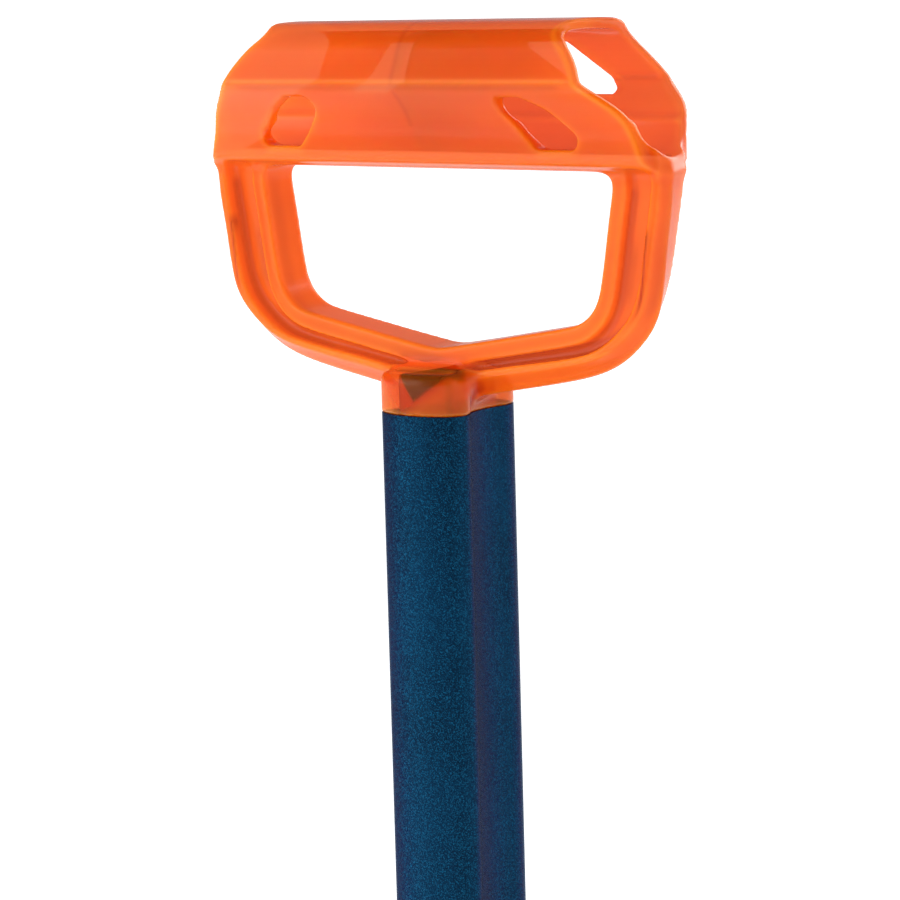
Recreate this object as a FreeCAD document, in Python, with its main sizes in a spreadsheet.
import FreeCAD, Part
import Sketcher
import math
import os
from FreeCAD import Placement, Rotation, Vector

# Avalanche shovel: D-grip, telescopic aluminium shaft, detachable blade.
# Frame: Z up along the shaft, -Y is the scoop side (front), X is the width.
# Origin: on the shaft's centreline, level with the blade's tip.

doc = FreeCAD.newDocument("avalanche_shovel")

# ---------------------------------------------------------------- dimensions
# alias, value or formula, note
DIMENSIONS = [
    # shaft section: wide convex front lobe, hollow flanks, narrower rear lobe
    ("crown_cy", 1.93, "front crown arc"),
    ("crown_r", 19.08, ""),
    ("corner_cx", 6.6, "front corner arcs"),
    ("corner_cy", -10.286, ""),
    ("corner_r", 5.2, ""),
    ("waist_cx", 36.5, "hollow flank arcs"),
    ("waist_cy", 4.6, ""),
    ("waist_r", 28.68, ""),
    ("lobe_cy", 9.09, "rear lobe arc"),
    ("lobe_r", 8.1, ""),
    ("sec_front_y", "=crown_cy - crown_r", "front crown of the shaft section"),
    ("sec_rear_y", "=lobe_cy + lobe_r", "rear crown of the shaft section"),
    # tubes
    ("collar_z", 750.0, "top of the upper tube, lower edge of the grip's collar"),
    ("upper_bottom", 464.0, "lower end of the upper tube"),
    ("lower_bottom", 200.0, "lower end of the lower tube"),
    ("lower_top", 555.0, "upper end of the lower tube"),
    ("tube_wall", 1.4, "wall of the upper tube"),
    ("slide_gap", 0.4, "gap between the two tubes, all round"),
    ("lower_wall", 1.3, "wall of the lower tube"),
    # push buttons and their carriers
    ("button_r", 4.0, "button shank radius"),
    ("button_gap", 0.1, "radial running clearance of the buttons"),
    ("flange_r", 5.4, "button flange radius"),
    ("flange_t", 2.0, "button flange thickness"),
    ("tip_y", -15.2, "button tip, pressed in"),
    ("tip_round", 1.2, "fillet round the button tip"),
    ("flange_y", -8.0, "outer face of the button's flange, pressed in"),
    ("bore_floor_y", 3.0, "floor of the button's bore in its carrier"),
    ("ext_z", 482.0, "extension button height, shaft extended"),
    ("ext_travel", 145.0, "telescopic travel between the two button holes"),
    ("rel_z", 288.0, "blade release button height"),
    ("carrier_gap", 0.1, "gap between a carrier and the lower tube's bore"),
    ("top_carrier_drop", 18.0, "top carrier's lower end, below its button"),
    ("end_carrier_rise", 14.0, "end carrier's upper end, above its button"),
    ("glide_t", 3.0, "thickness of the glide flange on the top carrier"),
    ("glide_gap", 0.12, "gap between the glide flange and the upper tube"),
    ("end_flange_t", 3.0, "thickness of the flange on the end carrier"),
    # roll pins through the carriers
    ("pin_r", 1.5, ""),
    ("pin_bore_r", 0.7, ""),
    ("pin_len", 11.7, ""),
    ("pin_hole_r", 1.55, ""),
    ("pin_y", 2.0, ""),
    ("top_pin_z", "=lower_top - 16", ""),
    ("end_pin_z", "=lower_bottom + 22", ""),
    # ferrule
    ("ferrule_bottom", 460.0, "lower face of the ferrule"),
    ("ferrule_len", 12.0, ""),
    ("ferrule_wall", 1.5, "wall outside the upper tube"),
    ("ferrule_seat_gap", 0.05, "gap to the outside of the upper tube"),
    ("ferrule_bore_gap", 0.15, "gap to the lower tube"),
    # blade socket and blade
    ("socket_bottom", 150.0, ""),
    ("socket_top", 305.0, ""),
    ("socket_floor", 192.0, ""),
    ("socket_gap", 0.25, "gap between the lower tube and the socket"),
    ("socket_wall", 2.2, ""),
    ("socket_hole_gap", 0.15, "radial clearance of the button in the socket"),
    ("base_half", 33.0, "half width of the socket's riveted base"),
    ("base_top", 262.0, ""),
    ("base_t", 2.2, ""),
    ("fair_w", 22.0, "block between the base and the sleeve"),
    ("fair_t", 9.0, ""),
    ("blade_gap", 0.04, "gap between the socket's base and the blade"),
    ("blade_t", 2.0, "blade sheet thickness"),
    ("blade_h", 270.0, "blade height, tip to top edge"),
    ("blade_w", 256.0, "blade width at its widest"),
    ("rivet_r", 2.4, "blade rivets: two columns of three"),
    ("rivet_gap", 0.05, "radial clearance of every rivet"),
    ("rivet_x", 27.0, ""),
    ("rivet_z", 162.0, "lowest rivet row"),
    ("rivet_pitch", 44.0, ""),
    ("anchor_r", 4.0, "snow anchor holes"),
    ("anchor_x", 24.0, ""),
    ("anchor_z", 126.0, ""),
    # grip
    ("grip_y", -2.55, "the grip stands this far forward of the shaft's centreline"),
    ("bar_mid_y", 1.0, "middle of the crossbar section in the grip's own frame"),
    ("bar_half", 67.4, "half length of the crossbar before its ends are cut"),
    ("web_t", 3.0, "web left between the two crossbar bores"),
    ("leg_front", -5.2, ""),
    ("leg_rear", 6.6, ""),
    ("collar_h", 13.5, ""),
    ("spigot_len", 36.0, ""),
    ("spigot_gap", 0.1, ""),
    ("spigot_wall", 2.6, ""),
    ("spigot_bore_top", 8.0, "top of the spigot's bore, above the collar's edge"),
    ("grip_rivet_r", 2.0, ""),
    ("grip_rivet_drop", 12.0, "upper grip rivet, below the collar's edge"),
    ("grip_rivet_pitch", 15.0, ""),
    # offsets of the shaft section, outward positive
    ("shaft_off", 0.0, ""),
    ("upper_bore_off", "=-tube_wall", ""),
    ("lower_off", "=-tube_wall - slide_gap", ""),
    ("lower_bore_off", "=lower_off - lower_wall", ""),
    ("carrier_off", "=lower_bore_off - carrier_gap", ""),
    ("glide_off", "=upper_bore_off - glide_gap", ""),
    ("spigot_off", "=upper_bore_off - spigot_gap", ""),
    ("spigot_bore_off", "=spigot_off - spigot_wall", ""),
    ("socket_bore_off", "=lower_off + socket_gap", ""),
    ("socket_off", "=socket_bore_off + socket_wall", ""),
    ("ferrule_bore_off", "=lower_off + ferrule_bore_gap", ""),
    ("socket_front_y", "=sec_front_y - socket_off", "front face of the socket's base"),
    ("blade_back_y", "=socket_front_y - blade_gap", "rear face of the blade's flat middle"),
]

# Grip profiles, each point (height above the collar's edge, half width).
# bar and bore: the crossbar's section and its bore, half widths along Y.
# rim: the crossbar's end cut; ring_out, ring_in: the D ring; half widths along X.
PROFILES = {
    "bar": [
        (89.9, 0.0), (89.7, 7.0), (88.8, 10.4), (87.2, 12.8), (85.0, 14.5), (82.0, 15.6),
        (79.4, 16.8), (76.3, 18.0), (74.7, 17.6), (73.1, 16.05), (71.3, 14.35), (69.1, 12.55),
        (66.7, 11.25), (63.6, 10.25), (60.6, 10.1), (58.4, 9.5), (57.0, 7.4)],
    "bore": [
        (87.3, 0.0), (87.1, 6.2), (86.4, 8.9), (84.9, 10.9), (83.4, 12.1), (81.2, 13.2),
        (78.8, 14.3), (76.2, 15.2), (74.2, 13.9), (72.0, 11.8), (69.8, 9.9), (67.0, 8.4),
        (63.6, 7.4), (61.2, 5.8), (59.9, 3.4), (59.5, 1.2)],
    "rim": [
        (91.0, 44.8), (88.6, 44.2), (87.2, 43.4), (85.4, 44.6), (83.9, 46.4), (82.0, 48.3),
        (79.4, 50.3), (76.3, 52.2), (74.7, 53.6), (73.15, 55.8), (71.3, 58.4), (69.1, 60.5),
        (66.7, 61.6), (63.6, 62.6), (60.6, 63.4), (57.5, 65.2), (56.0, 65.8)],
    "ring_out": [
        (70.0, 54.0), (66.0, 60.5), (61.5, 66.3), (57.8, 67.2), (49.0, 66.8), (40.7, 65.4),
        (32.2, 64.4), (25.8, 63.2), (20.5, 60.4), (15.6, 55.2), (12.0, 49.2), (9.3, 40.9),
        (7.3, 30.4), (5.6, 20.6), (3.2, 12.0)],
    "ring_in": [
        (57.0, 49.0), (55.6, 51.6), (53.2, 52.4), (50.0, 51.8), (43.5, 50.6), (36.5, 49.5),
        (30.2, 48.3), (26.5, 46.9), (23.6, 44.6), (22.0, 40.8), (20.6, 34.0), (19.0, 24.0),
        (17.4, 12.0), (16.6, 3.0)],
}

for profile, table in PROFILES.items():
    for i, (rise, half) in enumerate(table):
        DIMENSIONS.append(("%s_rise_%d" % (profile, i), rise, ""))
        DIMENSIONS.append(("%s_half_%d" % (profile, i), half, ""))

sheet = doc.addObject("Spreadsheet::Sheet", "dims")
for row, (alias, value, note) in enumerate(DIMENSIONS, 1):
    sheet.set("A%d" % row, alias)
    sheet.set("B%d" % row, value if isinstance(value, str) else repr(float(value)))
    sheet.set("C%d" % row, note)
    sheet.setAlias("B%d" % row, alias)
doc.recompute()


def dim(alias):
    return float(sheet.get(alias))


# ------------------------------------------------------------ sketch helpers
ROT_YZ = Rotation(Vector(0, 1, 0), Vector(0, 0, 1), Vector(1, 0, 0), "ZXY")   # sketch x, y -> Y, Z
ROT_XZ = Rotation(Vector(1, 0, 0), Vector(0, 0, 1), Vector(0, -1, 0), "ZXY")  # sketch x, y -> X, Z


def free_sketch(name, rotation=Rotation()):
    sketch = doc.addObject("Sketcher::SketchObject", name)
    sketch.Placement = Placement(Vector(0, 0, 0), rotation)
    return sketch


def body_sketch(body, name):
    """Sketch on the body's XZ plane, which faces -Y; sketch x, y -> X, Z."""
    sketch = body.newObject("Sketcher::SketchObject", name)
    plane = [f for f in body.Origin.OriginFeatures if f.Role == "XZ_Plane"][0]
    sketch.AttachmentSupport = [(plane, "")]
    sketch.MapMode = "FlatFace"
    return sketch


def datum(sketch, kind, geo, point, value, expr):
    """Signed distance of a point from the sketch origin, driven by an expression."""
    index = sketch.addConstraint(Sketcher.Constraint(kind, -1, 1, geo, point, value))
    sketch.setExpression("Constraints[%d]" % index, expr)


def radius_datum(sketch, geo, value, expr):
    index = sketch.addConstraint(Sketcher.Constraint("Radius", geo, value))
    sketch.setExpression("Constraints[%d]" % index, expr)


def add_line(sketch, start, end):
    sketch.addGeometry(Part.LineSegment(Vector(*start, 0), Vector(*end, 0)), False)


def loop(sketch, points):
    """Closed polyline; each point is (x, y, x expression, y expression)."""
    count = len(points)
    for i in range(count):
        add_line(sketch, points[i][:2], points[(i + 1) % count][:2])
    for i in range(count):
        sketch.addConstraint(Sketcher.Constraint("Coincident", i, 2, (i + 1) % count, 1))
    for i, (x, y, x_expr, y_expr) in enumerate(points):
        datum(sketch, "DistanceX", i, 1, x, x_expr)
        datum(sketch, "DistanceY", i, 1, y, y_expr)


def profile_sketch(name, profile, rotation, middle=None):
    """Closed outline of a grip profile, mirrored about the alias middle, or about 0."""
    offset = dim(middle) if middle else 0.0
    tail = " + dims." + middle if middle else ""
    right, left = [], []
    for i, (rise, half) in enumerate(PROFILES[profile]):
        half_expr = "dims.%s_half_%d%s" % (profile, i, tail)
        rise_expr = "dims.%s_rise_%d" % (profile, i)
        right.append((offset + half, rise, half_expr, rise_expr))
        if half != 0.0:
            left.append((offset - half, rise, "-" + half_expr, rise_expr))
    sketch = free_sketch(name, rotation)
    loop(sketch, right + left[::-1])
    return sketch


def arc_through(start, mid, end):
    """Arc through three points, always stored counter-clockwise about +Z."""
    points = [Vector(*p, 0) for p in (start, mid, end)]
    centre = Part.Arc(*points).toShape().Curve.Center
    radius = math.hypot(start[0] - centre.x, start[1] - centre.y)
    turn = ((mid[0] - start[0]) * (end[1] - mid[1])
            - (mid[1] - start[1]) * (end[0] - mid[0]))
    first, last = (start, end) if turn > 0 else (end, start)
    angle_0 = math.atan2(first[1] - centre.y, first[0] - centre.x)
    angle_1 = math.atan2(last[1] - centre.y, last[0] - centre.x)
    if angle_1 <= angle_0:
        angle_1 += 2 * math.pi
    circle = Part.Circle(Vector(centre.x, centre.y, 0), Vector(0, 0, 1), radius)
    return Part.ArcOfCircle(circle, angle_0, angle_1)


def end_at(sketch, geo, point):
    """Which end (1 or 2) of a line or arc lies at the point."""
    start = sketch.Geometry[geo].StartPoint
    return 1 if (start - Vector(point[0], point[1], 0)).Length < 1e-6 else 2


def join_ends(sketch, joints):
    """Tie the end of each piece of geometry to the next one, at joints[i]."""
    for i, point in enumerate(joints):
        j = (i + 1) % len(joints)
        sketch.addConstraint(Sketcher.Constraint(
            "Coincident", i, end_at(sketch, i, point), j, end_at(sketch, j, point)))


# ------------------------------------------------------------- solid helpers
X_DIR, Y_DIR, Z_DIR = Vector(1, 0, 0), Vector(0, 1, 0), Vector(0, 0, 1)
AIM = {"-y": Rotation(X_DIR, 90), "+y": Rotation(X_DIR, -90), "+x": Rotation(Y_DIR, 90)}


def drive(obj, **expressions):
    for prop, expr in expressions.items():
        obj.setExpression(prop, expr)


def place(obj, at):
    for axis, expr in zip("xyz", at):
        obj.setExpression("Placement.Base." + axis, expr)


def prism(name, sketch, direction, forward, backward="0", at=("0", "0", "0")):
    solid = doc.addObject("Part::Extrusion", name)
    solid.Base = sketch
    solid.DirMode = "Custom"
    solid.Dir = direction
    solid.Solid = True
    drive(solid, LengthFwd=forward, LengthRev=backward)
    place(solid, at)
    return solid


def column(name, sketch, length, bottom, y="0"):
    """Upright prism standing at a height."""
    return prism(name, sketch, Z_DIR, length, at=("0", y, bottom))


def cylinder(name, radius, length, at, axis="-y"):
    solid = doc.addObject("Part::Cylinder", name)
    drive(solid, Radius=radius, Height=length)
    solid.Placement = Placement(Vector(0, 0, 0), AIM[axis])
    place(solid, at)
    return solid


def box(name, size, at):
    solid = doc.addObject("Part::Box", name)
    drive(solid, Length=size[0], Width=size[1], Height=size[2])
    place(solid, at)
    return solid


def rivet_head(name, radius, rim_angle, x, rim_y, z, axis):
    """Spherical cap cut off at a latitude, its flat rim at rim_y, domed along axis."""
    cap = doc.addObject("Part::Sphere", name)
    cap.Radius = radius
    cap.Angle1 = rim_angle
    cap.Angle2 = 90
    cap.Placement = Placement(Vector(0, 0, 0), AIM[axis])
    inward = "+" if axis == "-y" else "-"
    rim_height = radius * math.sin(math.radians(rim_angle))
    place(cap, (x, "%s %s %.6f" % (rim_y, inward, rim_height), z))
    return cap


def fuse(name, shapes):
    result = doc.addObject("Part::MultiFuse", name)
    result.Shapes = shapes
    result.Refine = True
    return result


def common(name, shapes):
    result = doc.addObject("Part::MultiCommon", name)
    result.Shapes = shapes
    return result


def cut(name, base, tools):
    result = doc.addObject("Part::Cut", name)
    result.Base = base
    result.Tool = tools[0] if len(tools) == 1 else fuse(name + "_tools", tools)
    return result


def compound(name, links):
    result = doc.addObject("Part::Compound", name)
    result.Links = links
    return result


def new_body(name):
    body = doc.addObject("PartDesign::Body", name)
    doc.recompute()
    return body


# ------------------------------------------------------------- shaft section
# arcs in order: alias stem, side (0 is centred on the Y axis), 1 convex or -1 hollow
SECTION_ARCS = [("crown", 0, 1), ("corner", 1, 1), ("waist", 1, -1),
                ("lobe", 0, 1), ("waist", -1, -1), ("corner", -1, 1)]
# roughly where each arc meets the next
NEAR_RIGHT = [(8.2, -15.3), (10.5, -8.1), (7.8, 8.2)]
NEAR_JOINTS = NEAR_RIGHT + [(-x, y) for x, y in reversed(NEAR_RIGHT)]


def circles_meet(centre_1, r1, centre_2, r2, near):
    """The crossing of two circles nearest to a given point."""
    dx, dy = centre_2[0] - centre_1[0], centre_2[1] - centre_1[1]
    gap = math.hypot(dx, dy)
    along = (r1 * r1 - r2 * r2 + gap * gap) / (2 * gap)
    across = math.sqrt(max(0.0, r1 * r1 - along * along))
    foot_x = centre_1[0] + along * dx / gap
    foot_y = centre_1[1] + along * dy / gap
    both = [(foot_x + k * across * dy / gap, foot_y - k * across * dx / gap) for k in (1, -1)]
    return min(both, key=lambda p: math.hypot(p[0] - near[0], p[1] - near[1]))


def arc_middle(stem, centre, radius, start, end):
    """Middle of a section arc, on the side of its chord."""
    if stem == "lobe":  # may pass half a turn, so its middle is set at the rear
        return (0.0, centre[1] + radius)
    vx = (start[0] + end[0]) / 2 - centre[0]
    vy = (start[1] + end[1]) / 2 - centre[1]
    length = math.hypot(vx, vy)
    return (centre[0] + vx / length * radius, centre[1] + vy / length * radius)


def section(name, offset):
    """The shaft's outline, moved outward by an alias: every arc keeps its centre."""
    centres = [(side * dim(stem + "_cx") if side else 0.0, dim(stem + "_cy"))
               for stem, side, _ in SECTION_ARCS]
    radii = [dim(stem + "_r") + bulge * dim(offset) for stem, _, bulge in SECTION_ARCS]
    count = len(SECTION_ARCS)
    joints = []
    for i in range(count):
        j = (i + 1) % count
        joints.append(circles_meet(centres[i], radii[i], centres[j], radii[j], NEAR_JOINTS[i]))
    sketch = free_sketch(name)
    for i, (stem, _, _) in enumerate(SECTION_ARCS):
        start, end = joints[i - 1], joints[i]
        middle = arc_middle(stem, centres[i], radii[i], start, end)
        sketch.addGeometry(arc_through(start, middle, end), False)
    join_ends(sketch, joints)
    for i, (stem, side, bulge) in enumerate(SECTION_ARCS):
        if side == 0:
            sketch.addConstraint(Sketcher.Constraint("PointOnObject", i, 3, -2))
        else:
            sign = "-" if side < 0 else ""
            datum(sketch, "DistanceX", i, 3, centres[i][0], "%sdims.%s_cx" % (sign, stem))
        datum(sketch, "DistanceY", i, 3, centres[i][1], "dims.%s_cy" % stem)
        sign = "+" if bulge > 0 else "-"
        radius_datum(sketch, i, radii[i], "dims.%s_r %s dims.%s" % (stem, sign, offset))
    return sketch


# outlines shared by several pieces
shaft_outline = section("shaft_section", "shaft_off")
lower_outline = section("lower_tube_outline", "lower_off")
carrier_outline = section("carrier_outline", "carrier_off")


# --------------------------------------------------------------------- tubes
def button_hole(name, z, gap="button_gap"):
    return cylinder(name, "dims.button_r + dims." + gap, "30", ("0", "0", z))


def pin_hole(name, z):
    return cylinder(name, "dims.pin_hole_r", "40", ("-20", "dims.pin_y", z), "+x")


def grip_rivet_drop(index):
    return "(dims.grip_rivet_drop + %d * dims.grip_rivet_pitch)" % index


def grip_rivet_holes(tag, collar_edge):
    """Two holes through the rear wall, below the collar's edge."""
    return [cylinder("%s_%d" % (tag, k), "dims.grip_rivet_r + dims.rivet_gap", "20",
                     ("0", "10", "%s - %s" % (collar_edge, grip_rivet_drop(k))), "+y")
            for k in range(2)]


def tube(name, outline, bore_outline, bottom, top, holes):
    outer = column(name + "_outer", outline, "%s - %s" % (top, bottom), bottom)
    inner = column(name + "_inner", bore_outline, "%s - %s + 2" % (top, bottom), bottom + " - 1")
    return cut(name, outer, [inner] + holes)


def upper_tube():
    bore = section("upper_tube_bore", "upper_bore_off")
    holes = [button_hole("extended_hole", "dims.ext_z"),
             button_hole("stowed_hole", "dims.ext_z + dims.ext_travel")]
    holes += grip_rivet_holes("grip_rivet_hole", "dims.collar_z")
    return tube("upper_tube", shaft_outline, bore, "dims.upper_bottom", "dims.collar_z", holes)


def lower_tube():
    bore = section("lower_tube_bore", "lower_bore_off")
    holes = [button_hole("extension_button_hole", "dims.ext_z"),
             button_hole("release_button_hole", "dims.rel_z"),
             pin_hole("top_pin_hole", "dims.top_pin_z"),
             pin_hole("end_pin_hole", "dims.end_pin_z")]
    return tube("lower_tube", lower_outline, bore, "dims.lower_bottom", "dims.lower_top", holes)


# ----------------------------------------------- carriers, pins and buttons
def button_carrier(tag, bottom, top, flange, button_z, pin_z):
    """Plug inside the lower tube with a flange at its end and a bore for a button."""
    core = column(tag + "_core", carrier_outline, "(%s) - (%s)" % (top, bottom), bottom)
    bore = cylinder(tag + "_bore", "dims.flange_r + dims.button_gap", "30",
                    ("0", "dims.bore_floor_y", button_z))
    return cut(tag, fuse(tag + "_solid", [core, flange]), [bore, pin_hole(tag + "_pin_bore", pin_z)])


def top_carrier():
    glide = section("glide_outline", "glide_off")
    flange = column("top_carrier_flange", glide, "dims.glide_t", "dims.lower_top")
    return button_carrier("top_carrier", "dims.ext_z - dims.top_carrier_drop",
                          "dims.lower_top", flange, "dims.ext_z", "dims.top_pin_z")


def end_carrier():
    flange = column("end_carrier_flange", lower_outline, "dims.end_flange_t",
                    "dims.lower_bottom - dims.end_flange_t")
    return button_carrier("end_carrier", "dims.lower_bottom",
                          "dims.rel_z + dims.end_carrier_rise", flange,
                          "dims.rel_z", "dims.end_pin_z")


def roll_pin(tag, z):
    rod = cylinder(tag + "_rod", "dims.pin_r", "dims.pin_len",
                   ("-dims.pin_len / 2", "dims.pin_y", z), "+x")
    bore = cylinder(tag + "_bore", "dims.pin_bore_r", "40", ("-20", "dims.pin_y", z), "+x")
    return cut(tag, rod, [bore])


def disc_pad(body, name, radius, length):
    """Round pad from the body's XZ plane towards -Y."""
    sketch = body_sketch(body, name + "_sketch")
    sketch.addGeometry(Part.Circle(Vector(0, 0, 0), Z_DIR, dim(radius)), False)
    sketch.addConstraint(Sketcher.Constraint("Coincident", 0, 3, -1, 1))
    radius_datum(sketch, 0, dim(radius), "dims." + radius)
    pad = body.newObject("PartDesign::Pad", name + "_pad")
    pad.Profile = sketch
    drive(pad, Length=length)
    doc.recompute()
    return pad


def push_button(tag, z):
    """Flanged button with a rounded tip; the body's origin is the flange's rear face."""
    body = new_body(tag)
    disc_pad(body, tag + "_flange", "flange_r", "dims.flange_t")
    shank = disc_pad(body, tag + "_shank", "button_r",
                     "dims.flange_y - dims.tip_y + dims.flange_t")
    tip_y = shank.Shape.BoundBox.YMin
    tip_edge = ["Edge%d" % i for i, edge in enumerate(shank.Shape.Edges, 1)
                if all(abs(v.Point.y - tip_y) < 1e-4 for v in edge.Vertexes)][-1]
    fillet = body.newObject("PartDesign::Fillet", tag + "_tip_round")
    fillet.Base = (shank, [tip_edge])
    drive(fillet, Radius="dims.tip_round")
    doc.recompute()
    body.Tip = fillet
    place(body, ("0", "dims.flange_y + dims.flange_t", z))
    return body


def spring(tag, z):
    """Compression spring between a button's flange and its bore's floor, axis along Y."""
    wire_r, coil_r, end_gap = 0.45, 3.4, 0.05
    turns, steps = 4, 14
    start_y = dim("flange_y") + dim("flange_t")
    rise = dim("bore_floor_y") - start_y - 2 * (wire_r + end_gap)
    total = turns * steps
    points = [Vector(coil_r * math.cos(2 * math.pi * i / steps),
                     coil_r * math.sin(2 * math.pi * i / steps),
                     rise * i / total) for i in range(total + 1)]
    heading = (points[1] - points[0]).normalize()
    sweep = Part.BRepOffsetAPI.MakePipeShell(Part.makePolygon(points))
    sweep.setFrenetMode(False)
    sweep.setTransitionMode(1)
    sweep.add(Part.Wire(Part.makeCircle(wire_r, points[0], heading)))
    sweep.build()
    sweep.makeSolid()
    coil = doc.addObject("Part::Feature", tag)
    coil.Shape = sweep.shape()
    coil.Placement = Placement(Vector(0, start_y + wire_r + end_gap, z), AIM["+y"])
    return coil


# ---------------------------------------------------------- ferrule and socket
def ferrule():
    """Sleeve round the upper tube's lower end, with an inner lip below the tube."""
    length = "dims.ferrule_len"
    outer = column("ferrule_outer", section("ferrule_outline", "ferrule_wall"),
                   length, "dims.ferrule_bottom")
    seat = column("ferrule_seat", section("ferrule_seat_outline", "ferrule_seat_gap"),
                  length, "dims.upper_bottom")
    bore = column("ferrule_bore", section("ferrule_bore_outline", "ferrule_bore_off"),
                  length, "dims.ferrule_bottom - 2")
    return cut("ferrule", outer, [seat, bore])


# x and z of the blade rivets
RIVET_PLACES = [("%d * dims.rivet_x" % side, "dims.rivet_z + %d * dims.rivet_pitch" % row)
                for side in (-1, 1) for row in range(3)]


def blade_rivet_holes(tag, start_y, length):
    return [cylinder("%s_%d" % (tag, k), "dims.rivet_r + dims.rivet_gap", length, (x, start_y, z))
            for k, (x, z) in enumerate(RIVET_PLACES)]


def socket_nose_cut():
    """Slope across the closed lower end, so snow and packed gear slide past it."""
    sketch = free_sketch("socket_nose_profile", ROT_YZ)
    bottom, floor = dim("socket_bottom"), dim("socket_floor")
    loop(sketch, [(-13.0, bottom - 1, "-13", "dims.socket_bottom - 1"),
                  (60.0, bottom - 1, "60", "dims.socket_bottom - 1"),
                  (60.0, floor + 38, "60", "dims.socket_floor + 38"),
                  (19.0, floor - 3, "19", "dims.socket_floor - 3")])
    return prism("socket_nose_cut", sketch, X_DIR, "40", "40")


def blade_socket():
    sleeve = column("socket_sleeve", section("socket_outline", "socket_off"),
                    "dims.socket_top - dims.socket_bottom", "dims.socket_bottom")
    base_h = "dims.base_top - dims.socket_bottom"
    base = box("socket_base", ("2 * dims.base_half", "dims.base_t", base_h),
               ("-dims.base_half", "dims.socket_front_y", "dims.socket_bottom"))
    fair = box("socket_base_fair", ("dims.fair_w", "dims.fair_t", base_h),
               ("-dims.fair_w / 2", "dims.socket_front_y", "dims.socket_bottom"))
    bore = column("socket_bore", section("socket_bore_outline", "socket_bore_off"),
                  "dims.socket_top - dims.socket_floor + 5", "dims.socket_floor")
    tools = [bore, button_hole("socket_button_hole", "dims.rel_z", "socket_hole_gap"),
             socket_nose_cut()]
    tools += blade_rivet_holes("base_rivet_hole", "-5", "20")
    return cut("socket", fuse("socket_solid", [sleeve, base, fair]), tools)


# --------------------------------------------------------------------- blade
# pressed ribs, mirrored in X: centre x, half width, bottom z, top z, run-out, height
RIBS = [(0.0, 13.0, 22.0, 118.0, 30.0, 4.0),
        (58.0, 13.0, 30.0, 236.0, 36.0, 4.2),
        (92.0, 11.0, 60.0, 222.0, 36.0, 3.4)]


def smooth(start, end, value):
    """Eased step from 0 at start to 1 at end."""
    u = min(1.0, max(0.0, (value - start) / (end - start)))
    return u * u * (3 - 2 * u)


def rib(distance, half_width, bottom, top, run_out, z):
    """Share of a rib's height at a distance from its middle."""
    share = distance / half_width
    if share >= 1:
        return 0.0
    side = (math.cos(math.pi * share) + 1) / 2
    return side * smooth(bottom, bottom + run_out, z) * (1 - smooth(top - run_out, top, z))


BLADE_BACK = dim("blade_back_y")


def back_y(x, z):
    """Y of the blade's rear surface: flat spine, forward wings, forward tip, ribs."""
    out = abs(x)
    y = BLADE_BACK
    y -= smooth(36, 150, out) * (30.0 - 10.0 * smooth(120, 0, z))
    y -= 32.0 * smooth(118, -70, z) ** 1.3
    for centre, half_width, bottom, top, run_out, height in RIBS:
        y -= height * rib(abs(out - centre), half_width, bottom, top, run_out, z)
    # the upper edge is folded back into a step for the boot
    y += 9.0 * smooth(252, 272, z) * smooth(38, 54, out)
    return y


def blade_surface(forward):
    """Rear surface of the blade, moved forward along its normals."""
    reach = 0.5  # half span of the slope estimate
    grid = []
    for i in range(57):
        x = -140 + 5.0 * i
        line = []
        for j in range(51):
            z = -12 + 6.0 * j
            slope_x = (back_y(x + reach, z) - back_y(x - reach, z)) / (2 * reach)
            slope_z = (back_y(x, z + reach) - back_y(x, z - reach)) / (2 * reach)
            normal = Vector(slope_x, -1, slope_z)
            normal.normalize()
            line.append(Vector(x, back_y(x, z), z) + normal * forward)
        grid.append(line)
    surface = Part.BSplineSurface()
    surface.interpolate(grid)
    return surface.toShape()


def edge_middle(edge):
    return edge.valueAt((edge.FirstParameter + edge.LastParameter) / 2)


def sheet_solid():
    """Oversize formed sheet: two surfaces closed by ruled strips along their edges."""
    back, front = blade_surface(0.0), blade_surface(dim("blade_t"))
    faces = [back, front]
    for edge in back.Edges:
        middle = edge_middle(edge)
        nearest = min(front.Edges, key=lambda other: (edge_middle(other) - middle).Length)
        faces.append(Part.makeRuledSurface(edge, nearest))
    shell = Part.makeShell(faces)
    shell.sewShape()
    solid = Part.makeSolid(shell)
    solid.fix(0.01, 0.01, 0.01)
    if solid.Volume < 0:  # the shell may come out facing inward
        solid.reverse()
    return solid


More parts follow.
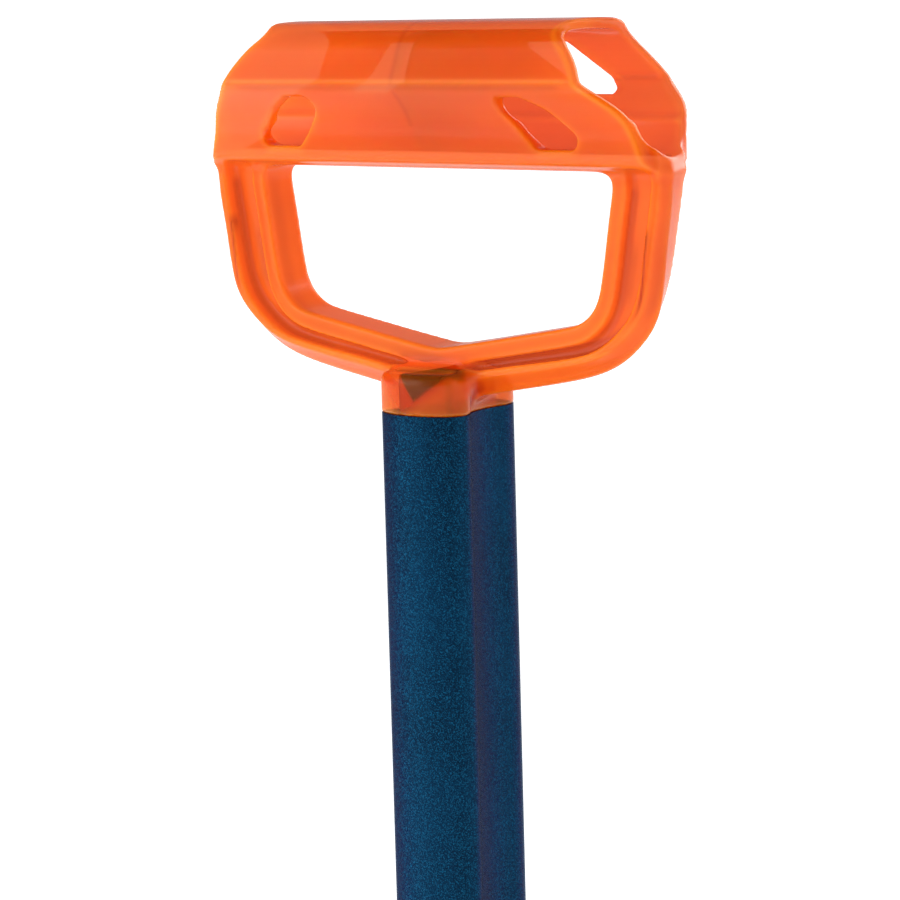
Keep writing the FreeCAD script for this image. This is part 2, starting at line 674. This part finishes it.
def blade_outline():
    """Outline pad: rounded shoulders, slightly tapered sides, bowed tip."""
    half_w, height = dim("blade_w") / 2, dim("blade_h")
    # corners of the +X half from the top edge down: x, z and their expressions
    right = [
        (42.0, height, "42", "dims.blade_h"),
        (54.0, height - 7.0, "54", "dims.blade_h - 7"),
        (half_w - 26.0, height - 12.0, "dims.blade_w / 2 - 26", "dims.blade_h - 12"),
        (half_w, height - 42.0, "dims.blade_w / 2", "dims.blade_h - 42"),
        (half_w - 9.0, 62.0, "dims.blade_w / 2 - 9", "62"),
        (half_w - 42.0, 10.0, "dims.blade_w / 2 - 42", "10")]
    left = [(-x, z, "-(%s)" % x_expr, z_expr) for x, z, x_expr, z_expr in reversed(right)]
    corners = right + left
    # side i runs from corner i - 1 to corner i; these sides are arcs through a point
    shoulder_x, shoulder_z = half_w - 7.0, height - 21.5
    tip_corner_x, tip_corner_z = half_w - 19.5, 28.5
    arc_points = {3: (shoulder_x, shoulder_z), 5: (tip_corner_x, tip_corner_z), 6: (0.0, 0.0),
                  7: (-tip_corner_x, tip_corner_z), 9: (-shoulder_x, shoulder_z)}

    body = new_body("blade_outline_body")
    sketch = body_sketch(body, "blade_outline")
    for i, corner in enumerate(corners):
        start, end = corners[i - 1][:2], corner[:2]
        if i in arc_points:
            sketch.addGeometry(arc_through(start, arc_points[i], end), False)
        else:
            add_line(sketch, start, end)
    join_ends(sketch, [corner[:2] for corner in corners])
    for i in range(len(corners)):
        x, z, x_expr, z_expr = corners[i - 1]
        datum(sketch, "DistanceX", i, end_at(sketch, i, (x, z)), x, x_expr)
        datum(sketch, "DistanceY", i, end_at(sketch, i, (x, z)), z, z_expr)
    for i in arc_points:
        sketch.addConstraint(Sketcher.Constraint("Radius", i, sketch.Geometry[i].Radius))
    pad = body.newObject("PartDesign::Pad", "blade_outline_pad")
    pad.Profile = sketch
    pad.Length = 90.0
    doc.recompute()
    body.Tip = pad
    return body


def blade():
    slab = doc.addObject("Part::Feature", "blade_sheet")
    slab.Shape = sheet_solid()
    form = common("blade_form", [slab, blade_outline()])
    tools = blade_rivet_holes("blade_rivet_hole", "0", "40")
    for k, side in enumerate((-1, 1)):
        tools.append(cylinder("anchor_hole_%d" % k, "dims.anchor_r", "60",
                              ("%d * dims.anchor_x" % side, "0", "dims.anchor_z")))
    return cut("blade_cut", form, tools)


def blade_rivets():
    """Rivets with a head in front of the blade and one behind the socket's base."""
    head_r, rim_angle = 5.2, 35
    base_rear = "dims.socket_front_y + dims.base_t"
    rivets = []
    for k, (x, z) in enumerate(RIVET_PLACES):
        shank = cylinder("rivet_shank_%d" % k, "dims.rivet_r",
                         "dims.base_t + dims.blade_t + 0.16", (x, base_rear + " + 0.04", z))
        front = rivet_head("rivet_front_%d" % k, head_r, rim_angle, x,
                           "dims.blade_back_y - dims.blade_t - 0.04", z, "-y")
        rear = rivet_head("rivet_rear_%d" % k, head_r, rim_angle, x,
                          base_rear + " + 0.02", z, "+y")
        rivets.append(fuse("blade_rivet_%d" % k, [shank, front, rear]))
    return compound("blade_rivet_set", rivets)


# ---------------------------------------------------------------------- grip
# Windows in the +X half of the crossbar, mirrored to -X: outline (x, z), y from, y length
WINDOWS = [
    ("front", [(27.7, 70.8), (29.4, 72.4), (39.6, 72.4), (49.0, 63.0),
               (49.0, 61.4), (38.8, 61.4), (36.6, 63.2)], "-30", "31"),
    ("rear", [(12.8, 84.0), (24.2, 84.0), (38.0, 72.8), (38.0, 71.4), (27.4, 71.4)], "6", "24"),
]


def crossbar():
    bar = prism("crossbar_prism", profile_sketch("crossbar_section", "bar", ROT_YZ, "bar_mid_y"),
                X_DIR, "dims.bar_half", "dims.bar_half")
    rim = prism("crossbar_end_prism", profile_sketch("crossbar_end_profile", "rim", ROT_XZ),
                Y_DIR, "30", "30")
    return common("crossbar", [bar, rim])


def crossbar_bores():
    """Blind bores from both ends, leaving a web in the middle."""
    sketch = profile_sketch("crossbar_bore_section", "bore", ROT_YZ, "bar_mid_y")
    starts = (("right", "dims.web_t / 2"), ("left", "-dims.bar_half - 5 - dims.web_t / 2"))
    return [prism("crossbar_bore_" + side, sketch, X_DIR, "dims.bar_half + 5", at=(x, "0", "0"))
            for side, x in starts]


def d_ring():
    outer = prism("ring_outer", profile_sketch("ring_outer_outline", "ring_out", ROT_XZ),
                  Y_DIR, "dims.leg_rear", "-dims.leg_front")
    inner = prism("ring_inner", profile_sketch("ring_inner_outline", "ring_in", ROT_XZ),
                  Y_DIR, "40", "40")
    return cut("ring", outer, [inner])


def crossbar_windows():
    windows = []
    for side, side_name in ((1, "right"), (-1, "left")):
        for face, outline, y_from, y_length in WINDOWS:
            tag = "%s_window_%s" % (face, side_name)
            sketch = free_sketch(tag + "_outline", ROT_XZ)
            loop(sketch, [(side * x, z, str(side * x), str(z)) for x, z in outline])
            windows.append(prism(tag, sketch, Y_DIR, y_length, at=("0", y_from, "0")))
    return windows


def d_grip():
    """Grip in its own frame, z 0 at the collar's edge, then moved onto the shaft."""
    shaft_y = "-dims.grip_y"
    bar, ring = crossbar(), d_ring()
    collar = column("grip_collar", shaft_outline, "dims.collar_h", "0", shaft_y)
    neck = box("grip_neck", ("30", "14", "9"), ("-15", "-5.5", "7.5"))
    spigot = column("grip_spigot", section("spigot_outline", "spigot_off"),
                    "dims.spigot_len", "-dims.spigot_len", shaft_y)
    spigot_bore = column("grip_spigot_bore", section("spigot_bore_outline", "spigot_bore_off"),
                         "dims.spigot_len + 3 + dims.spigot_bore_top",
                         "-dims.spigot_len - 3", shaft_y)
    solid = fuse("grip_solid", [bar, ring, collar, neck, spigot])
    tools = crossbar_bores() + [spigot_bore]
    tools += grip_rivet_holes("grip_spigot_rivet", "0") + crossbar_windows()
    grip = cut("grip_cut", solid, tools)
    place(grip, ("0", "dims.grip_y", "dims.collar_z"))
    return grip


def grip_rivets():
    """Two rivets through the shaft's rear crown into the spigot."""
    rivets = []
    for k in range(2):
        z = "dims.collar_z - " + grip_rivet_drop(k)
        shank = cylinder("grip_rivet_shank_%d" % k, "dims.grip_rivet_r", "5.4",
                         ("0", "dims.sec_rear_y - 4.8", z), "+y")
        head = rivet_head("grip_rivet_head_%d" % k, 4.6, 42, "0",
                          "dims.sec_rear_y + 0.03", z, "+y")
        rivets.append(fuse("grip_rivet_%d" % k, [shank, head]))
    return compound("grip_rivet_set", rivets)


# ---------------------------------------------------------- build and export
pieces = {
    "upper_shaft": upper_tube(),
    "lower_shaft": lower_tube(),
    "shaft_top_insert": top_carrier(),
    "shaft_bottom_insert": end_carrier(),
    "top_insert_pin": roll_pin("top_pin", "dims.top_pin_z"),
    "bottom_insert_pin": roll_pin("bottom_pin", "dims.end_pin_z"),
    "extension_button": push_button("extension_push_button", "dims.ext_z"),
    "blade_button": push_button("release_push_button", "dims.rel_z"),
    "extension_button_spring": spring("extension_coil", dim("ext_z")),
    "blade_button_spring": spring("release_coil", dim("rel_z")),
    "shaft_ferrule": ferrule(),
    "blade_socket": blade_socket(),
    "blade": blade(),
    "blade_rivets": blade_rivets(),
    "d_grip": d_grip(),
    "grip_rivets": grip_rivets(),
}
for label, piece in pieces.items():
    piece.Label = label

doc.recompute()
failed = [o.Name for o in doc.Objects if any(s in ("Invalid", "Error") for s in o.State)]
if failed:
    raise RuntimeError("failed objects: " + ", ".join(failed))

os.makedirs("parts", exist_ok=True)
for old in os.listdir("parts"):
    if old.endswith(".step"):
        os.remove(os.path.join("parts", old))
for label, piece in pieces.items():
    shape = piece.Shape
    if shape.isNull() or not shape.isValid() or not shape.Solids:
        raise RuntimeError("bad shape: " + label)
    shape.exportStep("parts/%s.step" % label)
